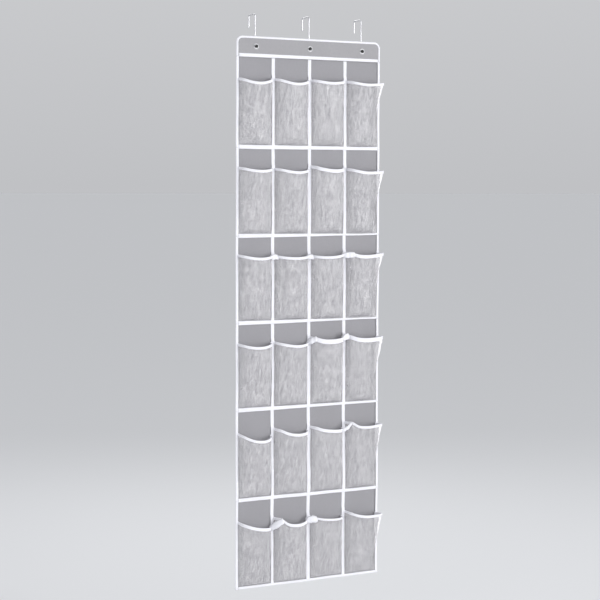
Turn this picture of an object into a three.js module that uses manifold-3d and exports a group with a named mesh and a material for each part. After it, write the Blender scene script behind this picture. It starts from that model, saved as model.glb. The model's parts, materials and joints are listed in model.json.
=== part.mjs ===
// Over-the-door shoe organizer. A stiffened header hangs from three wire hooks, and below it hang
// six rows of four clear film pockets, each row free to fold at the tape above it.
// Millimetres, +Z up, the front of the organizer faces -Y, +X to the right as seen from the front.
// The origin is the point where the centre hook sits on the door's top edge.
import * as THREE from 'three';
import { mergeVertices } from 'three/addons/utils/BufferGeometryUtils.js';
import Module from 'manifold-3d';

const wasm = await Module();
wasm.setup();

// ---- fabric panel ----
const PANEL_W = 483;
const PANEL_TOP = -63; // below the door's top edge
const HEADER_H = 56; // panel top to the middle of the header seam
const ROW_HEIGHTS = [267, 260, 256, 256, 266, 265]; // from one seam to the next, as sewn
const ROWS = ROW_HEIGHTS.length;
const COLUMNS = 4;
const COLUMN_PITCH = PANEL_W / COLUMNS;
const SHEET_T = 1.0;
const CLEAR = 0.15; // air between two layers that are sewn together
const FOLD_GAP = 0.7; // slit on each side of a fold line

// Depths are measured forwards from the front face of the row panels.
const PANEL_FRONT_Y = -25.35;

// ---- tapes and bindings ----
const TAPE_W = 12;
const TAPE_T = 0.8;
const EDGE_W = 8; // how far an edge binding reaches over the fabric
const BACK_LEG = [-SHEET_T - CLEAR - TAPE_T, -SHEET_T - CLEAR];
const ROW_TAPE = [2.1, 2.9]; // over the film and its binding
const WINDOW_TAPE = [CLEAR, CLEAR + TAPE_T]; // straight on the fabric above a pocket

// ---- film pockets ----
const FILM_T = 0.5;
const FILM_FLANGE = 1.05; // depth of the film where it is sewn down
const WINDOW_H = 62; // bare fabric, from the seam above down to a pocket's corners
const MOUTH_H = 9.5; // height of the binding round a pocket's mouth
const MOUTH_T = 0.5;
const BELLY_Z = 20; // height of the fullest part of the pocket's foot
const BELLY_SHARE = 0.5; // its depth, as a share of the mouth's

// How far each mouth stands forward, how far its middle sags, and how much further its right
// half hangs than its left, pocket by pocket from left to right.
const MOUTHS = [
  { depth: [31, 32, 33, 34], sag: [10, 11, 11, 10], tilt: [0, 0, 0, 0] },
  { depth: [32, 33, 33, 35], sag: [12, 12, 12, 11], tilt: [0, 0, 0, 0] },
  { depth: [32, 33, 34, 35], sag: [13, 12, 11, 12], tilt: [2, 0, 0, -2] },
  { depth: [34, 33, 33, 33], sag: [16, 9, 12, 10], tilt: [0, 4, 0, 0] },
  { depth: [34, 33, 32, 34], sag: [16, 11, 6, 10], tilt: [0, 4, 0, 3] },
  { depth: [31, 33, 33, 35], sag: [9, 12, 8, 12], tilt: [4, 3, 0, 0] },
];

// ---- header ----
const HEADER_CORNER_R = 20;
const STIFFENER = [CLEAR, CLEAR + 1.6];
const STIFFENER_MARGIN = { side: 14, top: 12, foot: 21 };
const FACING = [1.9, 2.7];
const HEADER_FRONT = [2.85, 3.65]; // binding and seam tape
const EYELET_Z = PANEL_TOP - 30;
const EYELET_R = 5.5;
const BARREL_R = 6;
const EYELET_FLANGE_R = 9;
const FABRIC_HOLE_R = 6.2;

// ---- hooks ----
const HOOK_XS = { left: -178, centre: 0, right: 178 };
const WIRE_R = 2;
const WIRE_SIDES = 8;
const DOOR_GAP = 38; // between a hook's two legs
const LEG_Y = DOOR_GAP / 2 + WIRE_R;
const REAR_LEG = 35;
const BEND_R = 4;
const ARM_BEND_R = 3.5;
const ARM_SLOPE = THREE.MathUtils.degToRad(5);
const PIVOT_Y = PANEL_FRONT_Y - (HEADER_FRONT[1] + BACK_LEG[0]) / 2;
const ARM_REACH = 5.6; // from the pivot to the end of the wire
const CAP_R = 3.25;
const CAP_L = 8;
const CAP_BORE = 2.35;
const CAP_GRIP = 5.6; // length of wire inside the cap

// ---- heights and columns ----
// Height of the middle of tape n: 0 is the header seam, the last one the panel's bottom edge.
const tapeZ = (n) => ROW_HEIGHTS.slice(0, n).reduce((z, h) => z - h, PANEL_TOP - HEADER_H);
const seamX = (column) => -PANEL_W / 2 + COLUMN_PITCH * column;
// The rest are heights above a row's own seam.
const rowTop = (row) => ROW_HEIGHTS[row - 1] - TAPE_W / 2 - 2 * FOLD_GAP;
const rowBottom = (row) => (row === ROWS ? 0 : -TAPE_W / 2);
const mouthZ = (row) => ROW_HEIGHTS[row - 1] - WINDOW_H;

// ---- materials ----
const fabric = (color) => new THREE.MeshStandardMaterial({ color, roughness: 0.95 });
const metal = (color, roughness) => new THREE.MeshStandardMaterial({ color, roughness, metalness: 1 });
const GREY_FABRIC = fabric(0xa5a4a9);
const HEADER_FABRIC = fabric(0xb1b0b4);
const WHITE_TAPE = fabric(0xf2f2f6);
const BOARD = fabric(0xbaa88c);
const CLEAR_FILM = new THREE.MeshStandardMaterial({
  color: 0xe2e2e6, roughness: 0.2, transparent: true, opacity: 0.35,
});
const WIRE_STEEL = metal(0xe0e0e2, 0.15);
const EYELET_STEEL = metal(0xb9b9bb, 0.3);
const BLACK_VINYL = new THREE.MeshStandardMaterial({ color: 0x0c0c0d, roughness: 0.5 });

function addPart(group, name, geometry, material) {
  const mesh = new THREE.Mesh(geometry, material);
  mesh.name = name;
  group.add(mesh);
  return mesh;
}

function addGroup(parent, x, y, z) {
  const group = new THREE.Group();
  group.position.set(x, y, z);
  parent.add(group);
  return group;
}

// ---- solids ----

function signedVolume(position, index) {
  const [a, b, c] = [new THREE.Vector3(), new THREE.Vector3(), new THREE.Vector3()];
  let volume = 0;
  for (let i = 0; i < index.length; i += 3) {
    a.fromBufferAttribute(position, index[i]);
    b.fromBufferAttribute(position, index[i + 1]);
    c.fromBufferAttribute(position, index[i + 2]);
    volume += a.dot(b.cross(c)) / 6;
  }
  return volume;
}

// Welds a geometry into one closed surface, without its flat triangles, and turns it outwards.
function solid(geometry) {
  geometry.deleteAttribute('normal');
  geometry.deleteAttribute('uv');
  const welded = mergeVertices(geometry, 1e-4);
  const index = Array.from(welded.index.array);
  const kept = [];
  for (let i = 0; i < index.length; i += 3) {
    const [a, b, c] = index.slice(i, i + 3);
    if (a !== b && b !== c && c !== a) {
      kept.push(a, b, c);
    }
  }
  if (signedVolume(welded.getAttribute('position'), kept) < 0) {
    kept.reverse();
  }
  welded.setIndex(kept);
  return welded;
}

function fromPoints(points, triangles) {
  const geometry = new THREE.BufferGeometry().setFromPoints(points);
  geometry.setIndex(triangles.flat());
  return solid(geometry);
}

const X = new THREE.Vector3(1, 0, 0);
const FORWARD = new THREE.Vector3(0, -1, 0);
const UP = new THREE.Vector3(0, 0, 1);

// A prism of an outline of [u, v] pairs, with u, v and the prism's run each along a direction.
function prism(pairs, [from, to], u, v, run) {
  const shape = new THREE.Shape(pairs.map(([a, b]) => new THREE.Vector2(a, b)));
  const geometry = new THREE.ExtrudeGeometry(shape, { depth: to - from, bevelEnabled: false });
  geometry.translate(0, 0, from);
  geometry.applyMatrix4(new THREE.Matrix4().makeBasis(u, v, run));
  return solid(geometry);
}

const alongX = (depthsAndHeights, span) => prism(depthsAndHeights, span, FORWARD, UP, X);
const alongZ = (widthsAndDepths, span) => prism(widthsAndDepths, span, X, FORWARD, UP);
const alongDepth = (widthsAndHeights, span) => prism(widthsAndHeights, span, X, UP, FORWARD);
const rectangle = ([a0, a1], [b0, b1]) => [[a0, b0], [a1, b0], [a1, b1], [a0, b1]];

// A solid of revolution about a forward axis, from a closed profile of [radius, depth] pairs.
function turned(profile, segments) {
  const points = [...profile, profile[0]].map(([r, depth]) => new THREE.Vector2(r, depth));
  return solid(new THREE.LatheGeometry(points, segments).rotateX(Math.PI));
}

// Triangles that fill a flat outline, turning the same way as the outline does.
function fillOutline(pairs) {
  const outline = pairs.map(([u, v]) => new THREE.Vector2(u, v));
  const turn = Math.sign(THREE.ShapeUtils.area(outline));
  return THREE.ShapeUtils.triangulateShape(outline, []).map(([a, b, c]) => {
    const area = THREE.ShapeUtils.area([outline[a], outline[b], outline[c]]);
    return area * turn > 0 ? [a, b, c] : [a, c, b];
  });
}

// Joins closed rings of equal length one after the other. `section` is a ring's flat outline.
function loft(rings, section) {
  const n = rings[0].length;
  const triangles = [];
  for (let i = 0; i + 1 < rings.length; i += 1) {
    for (let j = 0; j < n; j += 1) {
      const k = (j + 1) % n;
      triangles.push([i * n + j, i * n + k, (i + 1) * n + k]);
      triangles.push([i * n + j, (i + 1) * n + k, (i + 1) * n + j]);
    }
  }
  const last = (rings.length - 1) * n;
  for (const [a, b, c] of fillOutline(section)) {
    triangles.push([a, c, b]);
    triangles.push([last + a, last + b, last + c]);
  }
  return fromPoints(rings.flat(), triangles);
}

// Unit normals of a grid of points, lengthened at folds so that an offset keeps its distance.
function gridNormals(grid) {
  const faces = grid.slice(1).map((line, l) => line.slice(1).map((point, i) => {
    const across = new THREE.Vector3().subVectors(point, grid[l][i]);
    const along = new THREE.Vector3().subVectors(line[i], grid[l][i + 1]);
    return across.cross(along).normalize();
  }));
  return grid.map((line, l) => line.map((_, i) => {
    const around = [[l - 1, i - 1], [l - 1, i], [l, i - 1], [l, i]]
      .map(([a, b]) => faces[a]?.[b])
      .filter(Boolean);
    const mean = around.reduce((sum, n) => sum.add(n), new THREE.Vector3()).normalize();
    const narrowest = Math.min(...around.map((n) => mean.dot(n)));
    return mean.divideScalar(Math.max(narrowest, 0.6));
  }));
}

// A closed skin of even thickness about a grid of points.
function skin(grid, thickness) {
  const normals = gridNormals(grid);
  const side = (by) => grid.flatMap((line, l) => line.map(
    (point, i) => point.clone().addScaledVector(normals[l][i], by * thickness),
  ));
  const [rows, n] = [grid.length, grid[0].length];
  const back = rows * n;
  const triangles = [];
  for (let l = 0; l + 1 < rows; l += 1) {
    for (let i = 0; i + 1 < n; i += 1) {
      const [a, b, c, d] = [l * n + i, l * n + i + 1, (l + 1) * n + i + 1, (l + 1) * n + i];
      triangles.push([a, b, c], [a, c, d]);
      triangles.push([back + a, back + c, back + b], [back + a, back + d, back + c]);
    }
  }
  const rim = [
    ...Array.from({ length: n - 1 }, (_, i) => i),
    ...Array.from({ length: rows - 1 }, (_, l) => l * n + n - 1),
    ...Array.from({ length: n - 1 }, (_, i) => rows * n - 1 - i),
    ...Array.from({ length: rows - 1 }, (_, l) => (rows - 1 - l) * n),
  ];
  rim.forEach((a, i) => {
    const b = rim[(i + 1) % rim.length];
    triangles.push([b, a, back + a], [b, back + a, back + b]);
  });
  return fromPoints([...side(0.5), ...side(-0.5)], triangles);
}

function toManifold(geometry) {
  return new wasm.Manifold(new wasm.Mesh({
    numProp: 3,
    vertProperties: new Float32Array(geometry.attributes.position.array),
    triVerts: new Uint32Array(geometry.index.array),
  }));
}

function fromManifold(manifold) {
  const mesh = manifold.getMesh();
  const geometry = new THREE.BufferGeometry();
  geometry.setAttribute('position', new THREE.Float32BufferAttribute(mesh.vertProperties, 3));
  geometry.setIndex(Array.from(mesh.triVerts));
  return geometry;
}

const cutAway = (body, tools) => fromManifold(
  tools.map(toManifold).reduce((left, tool) => left.subtract(tool), toManifold(body)),
);
const joinAll = (pieces) => fromManifold(
  pieces.map(toManifold).reduce((joined, piece) => joined.add(piece)),
);

// ---- hooks ----

// Rounds the corner `at` of a path in the YZ plane into an arc, as a list of points.
function bend(before, at, after, radius, steps) {
  const inward = new THREE.Vector2().subVectors(at, before).normalize();
  const outward = new THREE.Vector2().subVectors(after, at).normalize();
  const turn = Math.acos(inward.dot(outward));
  const side = Math.sign(inward.cross(outward));
  const start = at.clone().addScaledVector(inward, -radius * Math.tan(turn / 2));
  const normal = new THREE.Vector2(-inward.y, inward.x).multiplyScalar(side);
  const middle = start.clone().addScaledVector(normal, radius);
  return Array.from(
    { length: steps + 1 },
    (_, i) => start.clone().rotateAround(middle, (side * turn * i) / steps),
  );
}

// The hook's centre line as (y, z), from the foot of the rear leg to the end of the arm.
function hookPath() {
  const armZ = (y) => EYELET_Z + (PIVOT_Y - y) * Math.tan(ARM_SLOPE);
  const tipY = PIVOT_Y - ARM_REACH * Math.cos(ARM_SLOPE);
  const foot = new THREE.Vector2(LEG_Y, -REAR_LEG);
  const rearTop = new THREE.Vector2(LEG_Y, WIRE_R);
  const frontTop = new THREE.Vector2(-LEG_Y, WIRE_R);
  const heel = new THREE.Vector2(-LEG_Y, armZ(-LEG_Y));
  const tip = new THREE.Vector2(tipY, armZ(tipY));
  return [
    foot,
    ...bend(foot, rearTop, frontTop, BEND_R, 4),
    ...bend(rearTop, frontTop, heel, BEND_R, 4),
    ...bend(frontTop, heel, tip, ARM_BEND_R, 5),
    tip,
  ];
}

// Wire along a path in the YZ plane, with flat sides facing along X and square to the path.
function wireAlong(path) {
  const corner = WIRE_R / Math.cos(Math.PI / WIRE_SIDES);
  const section = Array.from({ length: WIRE_SIDES }, (_, i) => {
    const angle = ((i + 0.5) * 2 * Math.PI) / WIRE_SIDES;
    return [corner * Math.cos(angle), corner * Math.sin(angle)];
  });
  const rings = path.map((point, i) => {
    const before = path[Math.max(i - 1, 0)];
    const after = path[Math.min(i + 1, path.length - 1)];
    const arriving = new THREE.Vector2().subVectors(point, before).normalize();
    const leaving = new THREE.Vector2().subVectors(after, point).normalize();
    const tangent = new THREE.Vector2().addVectors(arriving, leaving).normalize();
    const mitre = 1 / tangent.dot(i > 0 ? arriving : leaving);
    return section.map(([side, across]) => new THREE.Vector3(
      side,
      point.x - tangent.y * across * mitre,
      point.y + tangent.x * across * mitre,
    ));
  });
  return loft(rings, section);
}

function addHook(side, x) {
  const group = addGroup(parts, x, 0, 0);
  addPart(group, `hook_wire_${side}`, wireAlong(hookPath()), WIRE_STEEL);
  const profile = [
    [CAP_BORE, 0],
    [CAP_R, 0],
    [CAP_R, CAP_L - 1.4],
    [CAP_R - 0.6, CAP_L - 0.4],
    [CAP_R - 1.6, CAP_L],
    [0, CAP_L],
    [0, CAP_GRIP + 0.4],
    [CAP_BORE, CAP_GRIP + 0.4],
  ];
  const cap = addPart(group, `hook_cap_${side}`, turned(profile, 12), BLACK_VINYL);
  const start = ARM_REACH - CAP_GRIP;
  cap.position.set(
    0,
    PIVOT_Y - start * Math.cos(ARM_SLOPE),
    EYELET_Z + start * Math.sin(ARM_SLOPE),
  );
  cap.rotation.x = -ARM_SLOPE;
}

// A rolled eyelet through the header, and the washer that backs it.
function addEyelet(side, x) {
  const group = addGroup(parts, x, PANEL_FRONT_Y, EYELET_Z);
  const [back, front] = [BACK_LEG[0], HEADER_FRONT[0]];
  const eyelet = [
    [EYELET_R, back],
    [BARREL_R, back],
    [BARREL_R, front],
    [EYELET_FLANGE_R, front],
    [EYELET_FLANGE_R - 0.3, front + 0.5],
    [EYELET_FLANGE_R - 1.6, front + 0.8],
    [EYELET_R + 0.7, front + 0.7],
    [EYELET_R, front + 0.3],
  ];
  addPart(group, `eyelet_${side}`, turned(eyelet, 16), EYELET_STEEL);
  const washer = [
    [FABRIC_HOLE_R, back + 0.2],
    [FABRIC_HOLE_R, BACK_LEG[1]],
    [EYELET_FLANGE_R, BACK_LEG[1]],
    [EYELET_FLANGE_R - 0.4, back + 0.2],
    [EYELET_FLANGE_R - 1.4, back],
  ];
  addPart(group, `eyelet_washer_${side}`, turned(washer, 16), EYELET_STEEL);
}

// ---- header ----

// The header's outline, drawn in from its edge by `inset`, with round upper corners. Heights
// are above the header seam.
function headerOutline(inset, bottom) {
  const half = PANEL_W / 2 - inset;
  const radius = HEADER_CORNER_R - inset;
  const centreZ = HEADER_H - inset - radius;
  const corner = (x, from) => Array.from({ length: 6 }, (_, i) => {
    const angle = from + (Math.PI / 2) * (i / 5);
    return [x + radius * Math.cos(angle), centreZ + radius * Math.sin(angle)];
  });
  return [
    [-half, bottom],
    [half, bottom],
    ...corner(half - radius, 0),
    ...corner(-half + radius, Math.PI / 2),
  ];
}

// Cylinders through the whole header, one at each eyelet.
function eyeletHoles() {
  const length = 20;
  return Object.values(HOOK_XS).map((x) => {
    const hole = new THREE.CylinderGeometry(FABRIC_HOLE_R, FABRIC_HOLE_R, length, 16);
    return solid(hole.translate(x, 0, EYELET_Z - tapeZ(0)));
  });
}

function addHeader() {
  const group = addGroup(parts, 0, PANEL_FRONT_Y, tapeZ(0));
  const bottom = -TAPE_W / 2;
  const sheet = headerOutline(TAPE_T + CLEAR, bottom);
  const layer = (outline, depths) => cutAway(alongDepth(outline, depths), eyeletHoles());
  addPart(group, 'header_panel', layer(sheet, [-SHEET_T, 0]), GREY_FABRIC);
  addPart(group, 'header_facing', layer(sheet, FACING), HEADER_FABRIC);
  const { side, top, foot } = STIFFENER_MARGIN;
  const reach = PANEL_W / 2 - side;
  const board = rectangle([-reach, reach], [bottom + foot, HEADER_H - top]);
  addPart(group, 'header_stiffener', layer(board, STIFFENER), BOARD);

  const wrap = alongDepth(headerOutline(0, bottom), [BACK_LEG[0], HEADER_FRONT[1]]);
  const inside = alongDepth(headerOutline(TAPE_T, bottom - 1), [BACK_LEG[1], HEADER_FRONT[0]]);
  const face = alongDepth(headerOutline(EDGE_W, bottom - 1), [BACK_LEG[0] - 1, HEADER_FRONT[1] + 1]);
  addPart(group, 'header_binding', cutAway(wrap, [inside, face]), WHITE_TAPE);

  const tape = rectangle(crossTapeSpan(), [-TAPE_W / 2, TAPE_W / 2]);
  addPart(group, 'header_seam_tape', alongDepth(tape, HEADER_FRONT), WHITE_TAPE);
}

// How far a tape across the panel runs, between the two edge bindings.
function crossTapeSpan() {
  const reach = PANEL_W / 2 - EDGE_W - 0.2;
  return [-reach, reach];
}

// ---- rows ----

// The film's way across one half of a pocket, as offsets from its seam: where the film lies when
// pressed flat, where it stands at the open mouth, and its depth there as a share of the mouth's.
const INNER_SEAM = [
  { flat: 0, open: 0, share: 0 },
  { flat: 7.4, open: 7.4, share: 0 },
  { flat: 9, open: 9, share: 0.045 },
  { flat: 10, open: 5.5, share: 0.84 },
  { flat: 14, open: 10.5, share: 1 },
  { flat: 34, open: 33, share: 1.07 },
];
const OUTER_SEAM = [
  { flat: 1.3, open: 1.3, share: 0 },
  { flat: 9.4, open: 9.4, share: 0 },
  { flat: 11, open: 11, share: 0.045 },
  { flat: 12, open: 4.5, share: 0.84 },
  { flat: 16, open: 9.5, share: 1 },
  { flat: 34, open: 33, share: 1.07 },
];
const MIDDLE_SHARE = 1.1;

// How far the mouth's edge lies below its corners, a share u of the way across a pocket.
function mouthDrop(u, sag, tilt) {
  return sag * (1 - (2 * u - 1) ** 2) + tilt * u * Math.sin(Math.PI * u) ** 2;
}

// All stations of a row's film from left to right.
function filmStations(row) {
  const { depth, sag, tilt } = MOUTHS[row - 1];
  const stations = [];
  for (let column = 0; column < COLUMNS; column += 1) {
    const left = column === 0 ? OUTER_SEAM : INNER_SEAM;
    const right = column === COLUMNS - 1 ? OUTER_SEAM : INNER_SEAM.slice(1);
    const [x0, x1] = [seamX(column), seamX(column + 1)];
    const middle = { flat: (x0 + x1) / 2, open: (x0 + x1) / 2, share: MIDDLE_SHARE };
    const across = [
      ...left.map((s) => ({ ...s, flat: x0 + s.flat, open: x0 + s.open })),
      middle,
      ...right.map((s) => ({ ...s, flat: x1 - s.flat, open: x1 - s.open })).reverse(),
    ];
    across.forEach(({ flat, open, share }) => {
      const u = (open - x0) / COLUMN_PITCH;
      const drop = mouthDrop(u, sag[column], tilt[column]);
      stations.push({ flat, open, depth: share * depth[column], drop });
    });
  }
  return stations;
}

// Levels of the film above its seam. `open` is how far the pocket is opened there, and `mouth`
// whether the level follows the mouth's sag. The top two are the binding's lower edge and the
// film's own edge.
const filmLevels = (row) => [
  { z: row === ROWS ? 1.2 : -2, open: 0, mouth: 0 },
  { z: (row === ROWS ? EDGE_W : TAPE_W / 2) + 0.7, open: 0, mouth: 0 },
  { z: BELLY_Z, open: BELLY_SHARE, mouth: 0 },
  { z: mouthZ(row) - MOUTH_H - 1, open: 1, mouth: 1 },
  { z: mouthZ(row), open: 1, mouth: 1 },
];

const levelPoints = (stations, level) => stations.map((s) => new THREE.Vector3(
  s.flat + (s.open - s.flat) * level.open,
  -FILM_FLANGE - s.depth * level.open,
  level.z - s.drop * level.mouth,
));

function filmStrip(row) {
  const stations = filmStations(row);
  return skin(filmLevels(row).map((level) => levelPoints(stations, level)), FILM_T);
}

// Forward normals of a line of points, within the horizontal plane, lengthened at its corners.
function sideNormals(points) {
  const normalOf = (from, to) => new THREE.Vector3(to.y - from.y, from.x - to.x, 0).normalize();
  const last = points.length - 1;
  return points.map((point, i) => {
    const before = normalOf(points[Math.max(i - 1, 0)], points[Math.max(i, 1)]);
    const after = normalOf(points[Math.min(i, last - 1)], points[Math.min(i + 1, last)]);
    const mean = new THREE.Vector3().addVectors(before, after).normalize();
    return mean.divideScalar(mean.dot(before));
  });
}

// A folded band over the film's upper edge. Its section is in offsets from that edge.
function mouthBinding(row) {
  const edge = levelPoints(filmStations(row), filmLevels(row).at(-1));
  const normals = sideNormals(edge);
  const inner = FILM_T / 2 + CLEAR;
  const outer = inner + MOUTH_T;
  const top = CLEAR + MOUTH_T;
  const foot = top - MOUTH_H;
  const section = [
    [outer, foot], [outer, top], [-outer, top], [-outer, foot],
    [-inner, foot], [-inner, CLEAR], [inner, CLEAR], [inner, foot],
  ];
  const rings = edge.map((point, i) => section.map(
    ([out, up]) => point.clone().addScaledVector(normals[i], out).addScaledVector(UP, up),
  ));
  return loft(rings, section);
}

// Side view of a column tape: it lies on the film as far as the mouth, then steps back onto the
// fabric.
function columnTapeProfile(row) {
  const foot = row === ROWS ? TAPE_W / 3 : 0;
  const step = mouthZ(row) + 3;
  const top = rowTop(row);
  return [
    [ROW_TAPE[1], foot], [ROW_TAPE[1], step], [WINDOW_TAPE[1], step + 7], [WINDOW_TAPE[1], top],
    [WINDOW_TAPE[0], top], [WINDOW_TAPE[0], step + 7], [ROW_TAPE[0], step], [ROW_TAPE[0], foot],
  ];
}

// Side view of the tape under a row. Under the last row it is folded round the panel's edge.
function crossTapeProfile(row) {
  if (row < ROWS) {
    return rectangle(ROW_TAPE, [-TAPE_W / 2, TAPE_W / 2]);
  }
  return [
    [ROW_TAPE[1], 0], [ROW_TAPE[1], EDGE_W], [ROW_TAPE[0], EDGE_W], [ROW_TAPE[0], TAPE_T],
    [BACK_LEG[1], TAPE_T], [BACK_LEG[1], EDGE_W], [BACK_LEG[0], EDGE_W], [BACK_LEG[0], 0],
  ];
}

function tapeGrid(row) {
  const columns = [1, 2, 3].map((column) => {
    const x = seamX(column);
    return alongX(columnTapeProfile(row), [x - TAPE_W / 2, x + TAPE_W / 2]);
  });
  return joinAll([alongX(crossTapeProfile(row), crossTapeSpan()), ...columns]);
}

// Plan of the binding folded round one long edge. `side` is -1 on the left, 1 on the right.
function edgePlan(side) {
  const [outer, inner] = [PANEL_W / 2, PANEL_W / 2 - EDGE_W];
  return [
    [outer, ROW_TAPE[1]], [inner, ROW_TAPE[1]], [inner, ROW_TAPE[0]],
    [outer - TAPE_T, ROW_TAPE[0]], [outer - TAPE_T, BACK_LEG[1]],
    [inner, BACK_LEG[1]], [inner, BACK_LEG[0]], [outer, BACK_LEG[0]],
  ].map(([x, depth]) => [side * x, depth]);
}

function addRow(row) {
  const group = addGroup(parts, 0, PANEL_FRONT_Y, tapeZ(row));
  const [bottom, top] = [rowBottom(row), rowTop(row)];
  const half = PANEL_W / 2 - TAPE_T - CLEAR;
  const hem = row === ROWS ? TAPE_T + CLEAR : 0;
  const sheet = rectangle([-half, half], [bottom + hem, top]);
  addPart(group, `row_${row}_panel`, alongDepth(sheet, [-SHEET_T, 0]), GREY_FABRIC);
  addPart(group, `row_${row}_pocket_film`, filmStrip(row), CLEAR_FILM);
  addPart(group, `row_${row}_mouth_binding`, mouthBinding(row), WHITE_TAPE);
  addPart(group, `row_${row}_tape_grid`, tapeGrid(row), WHITE_TAPE);
  addPart(group, `row_${row}_edge_left`, alongZ(edgePlan(-1), [bottom, top]), WHITE_TAPE);
  addPart(group, `row_${row}_edge_right`, alongZ(edgePlan(1), [bottom, top]), WHITE_TAPE);
}

// ---- assembly ----
const parts = new THREE.Group();
for (const [side, x] of Object.entries(HOOK_XS)) {
  addHook(side, x);
  addEyelet(side, x);
}
addHeader();
for (let row = 1; row <= ROWS; row += 1) {
  addRow(row);
}

export default parts;
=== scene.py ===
"""Looks of an over-the-door shoe organizer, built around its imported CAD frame.

The frame is in metres, +Z up, with the front towards -Y. Lengths below are in millimetres, and
`mesh_object` turns them into metres. A depth is measured forwards from the front of the row panels.
"""

import json

import bmesh
import bpy
import numpy as np
from mathutils import Matrix, Vector


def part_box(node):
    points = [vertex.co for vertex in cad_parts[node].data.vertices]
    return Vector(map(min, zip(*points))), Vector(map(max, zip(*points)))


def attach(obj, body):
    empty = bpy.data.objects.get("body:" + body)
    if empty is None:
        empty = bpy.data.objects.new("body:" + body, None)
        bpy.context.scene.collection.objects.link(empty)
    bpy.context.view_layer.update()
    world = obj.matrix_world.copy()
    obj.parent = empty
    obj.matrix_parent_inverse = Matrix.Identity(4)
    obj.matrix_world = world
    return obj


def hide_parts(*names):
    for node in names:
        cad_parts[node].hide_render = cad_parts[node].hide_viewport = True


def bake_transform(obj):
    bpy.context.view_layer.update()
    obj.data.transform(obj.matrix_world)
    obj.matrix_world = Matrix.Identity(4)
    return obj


MM = 0.001
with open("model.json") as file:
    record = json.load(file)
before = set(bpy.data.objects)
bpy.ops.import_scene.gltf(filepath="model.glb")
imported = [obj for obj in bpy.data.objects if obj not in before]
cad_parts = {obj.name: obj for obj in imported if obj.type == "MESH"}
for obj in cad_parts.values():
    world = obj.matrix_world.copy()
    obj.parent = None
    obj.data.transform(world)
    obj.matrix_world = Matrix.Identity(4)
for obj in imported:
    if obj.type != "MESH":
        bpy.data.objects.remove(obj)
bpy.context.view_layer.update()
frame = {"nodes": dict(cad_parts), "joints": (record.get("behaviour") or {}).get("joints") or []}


def box_mm(node):
    """Lowest and highest corner of a CAD node."""
    return [np.array(corner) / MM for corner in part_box(node)]


# ---- sizes, in millimetres ----
ROWS = 6
COLUMNS = 4
HALF_W = box_mm("row_1_edge_right")[1][0]
PITCH = 2 * HALF_W / COLUMNS
FRONT_Y = box_mm("row_1_panel")[0][1]
SHEET_T = 1.0
TAPE_W = 12.0
TAPE_T = 0.8
EDGE_W = 8.0
EDGE_GAP = 0.2  # between a sheet's edge and its binding's fold
BACK = -1.95  # depth of the back of the bindings
WINDOW_TAPE = 0.15  # depth of the back of a column tape above a pocket
OVER_FILM = 2.1  # and of the tapes that lie over the film
FACING = (1.9, 2.7)
OVER_HEADER = 2.85
FLANGE = 1.05  # depth of the film where it is sewn down
FILM_T = 0.35
WINDOW_H = 62.0  # from the seam above down to a pocket's corners
FOLD_GAP = 0.7
SPLIT = 3.5  # the cloth of a row begins this far above its fold line, under the tape
BEND_LENGTH = 12.0  # length of cloth that bends at a fold

HEADER_TOP = box_mm("header_binding")[1][2]
HEADER_CORNER_R = 20.0
HOOK_SIDES = ("left", "centre", "right")
WIRE_R = 2.0
DOOR_GAP = 38.0
REAR_LEG = 35.0
WIRE_BEND_R = 4.0
ARM_BEND_R = 3.5
ARM_SLOPE = np.radians(5)
ARM_REACH = 5.6
# Painted shade: the cap is drawn wider than the real one, so that its black also stands for the shaded
# bore of the eyelet round it.
CAP_R = 3.6
CAP_HEAD_R = 4.8
CAP_NECK_L = 6.2  # length of the part inside the eyelet
CAP_L = 8.0
CAP_NOSE_R = 1.6  # rounding of its front rim
CAP_SOCKET_R = WIRE_R + 0.1
CAP_SOCKET_L = 6.2
CAP_VENT_R = 0.4  # the pinhole in its front
EYELET_R = 5.5
BARREL_R = 6.0
EYELET_FLANGE_R = 9.0
FABRIC_HOLE_R = 6.2
WIRE_SIDES, CAP_SIDES, EYELET_SIDES = 24, 32, 48

PIVOTS = {joint["child"]: np.array(joint["pos_m"]) / MM for joint in frame["joints"]}
EYELET_Z = PIVOTS["header"][2]
PIVOT_Y = PIVOTS["header"][1]


def fold_z(row):
    """Height of the line at which a row folds."""
    return PIVOTS[f"row_{row}"][2]


def seam_z(row):
    """Height of the middle of the tape under a row, or of the last row's edge. Row 0 is the header."""
    if row == ROWS:
        return box_mm(f"row_{ROWS}_edge_left")[0][2]
    return fold_z(row + 1) + FOLD_GAP + TAPE_W / 2


def cloth_top(row):
    return fold_z(row) + SPLIT


def cloth_bottom(row):
    return seam_z(row) if row == ROWS else cloth_top(row + 1)


def corner_z(row, column=None):
    """Height of the corners of a row's pockets, or of the higher corner at one column line."""
    nominal = seam_z(row - 1) - WINDOW_H
    if column is None:
        return nominal
    ends = MOUTHS[row]["ends"]
    return nominal + max(ends[column - 1][1], ends[column][0])


def seam_x(column):
    return -HALF_W + PITCH * column


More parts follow.
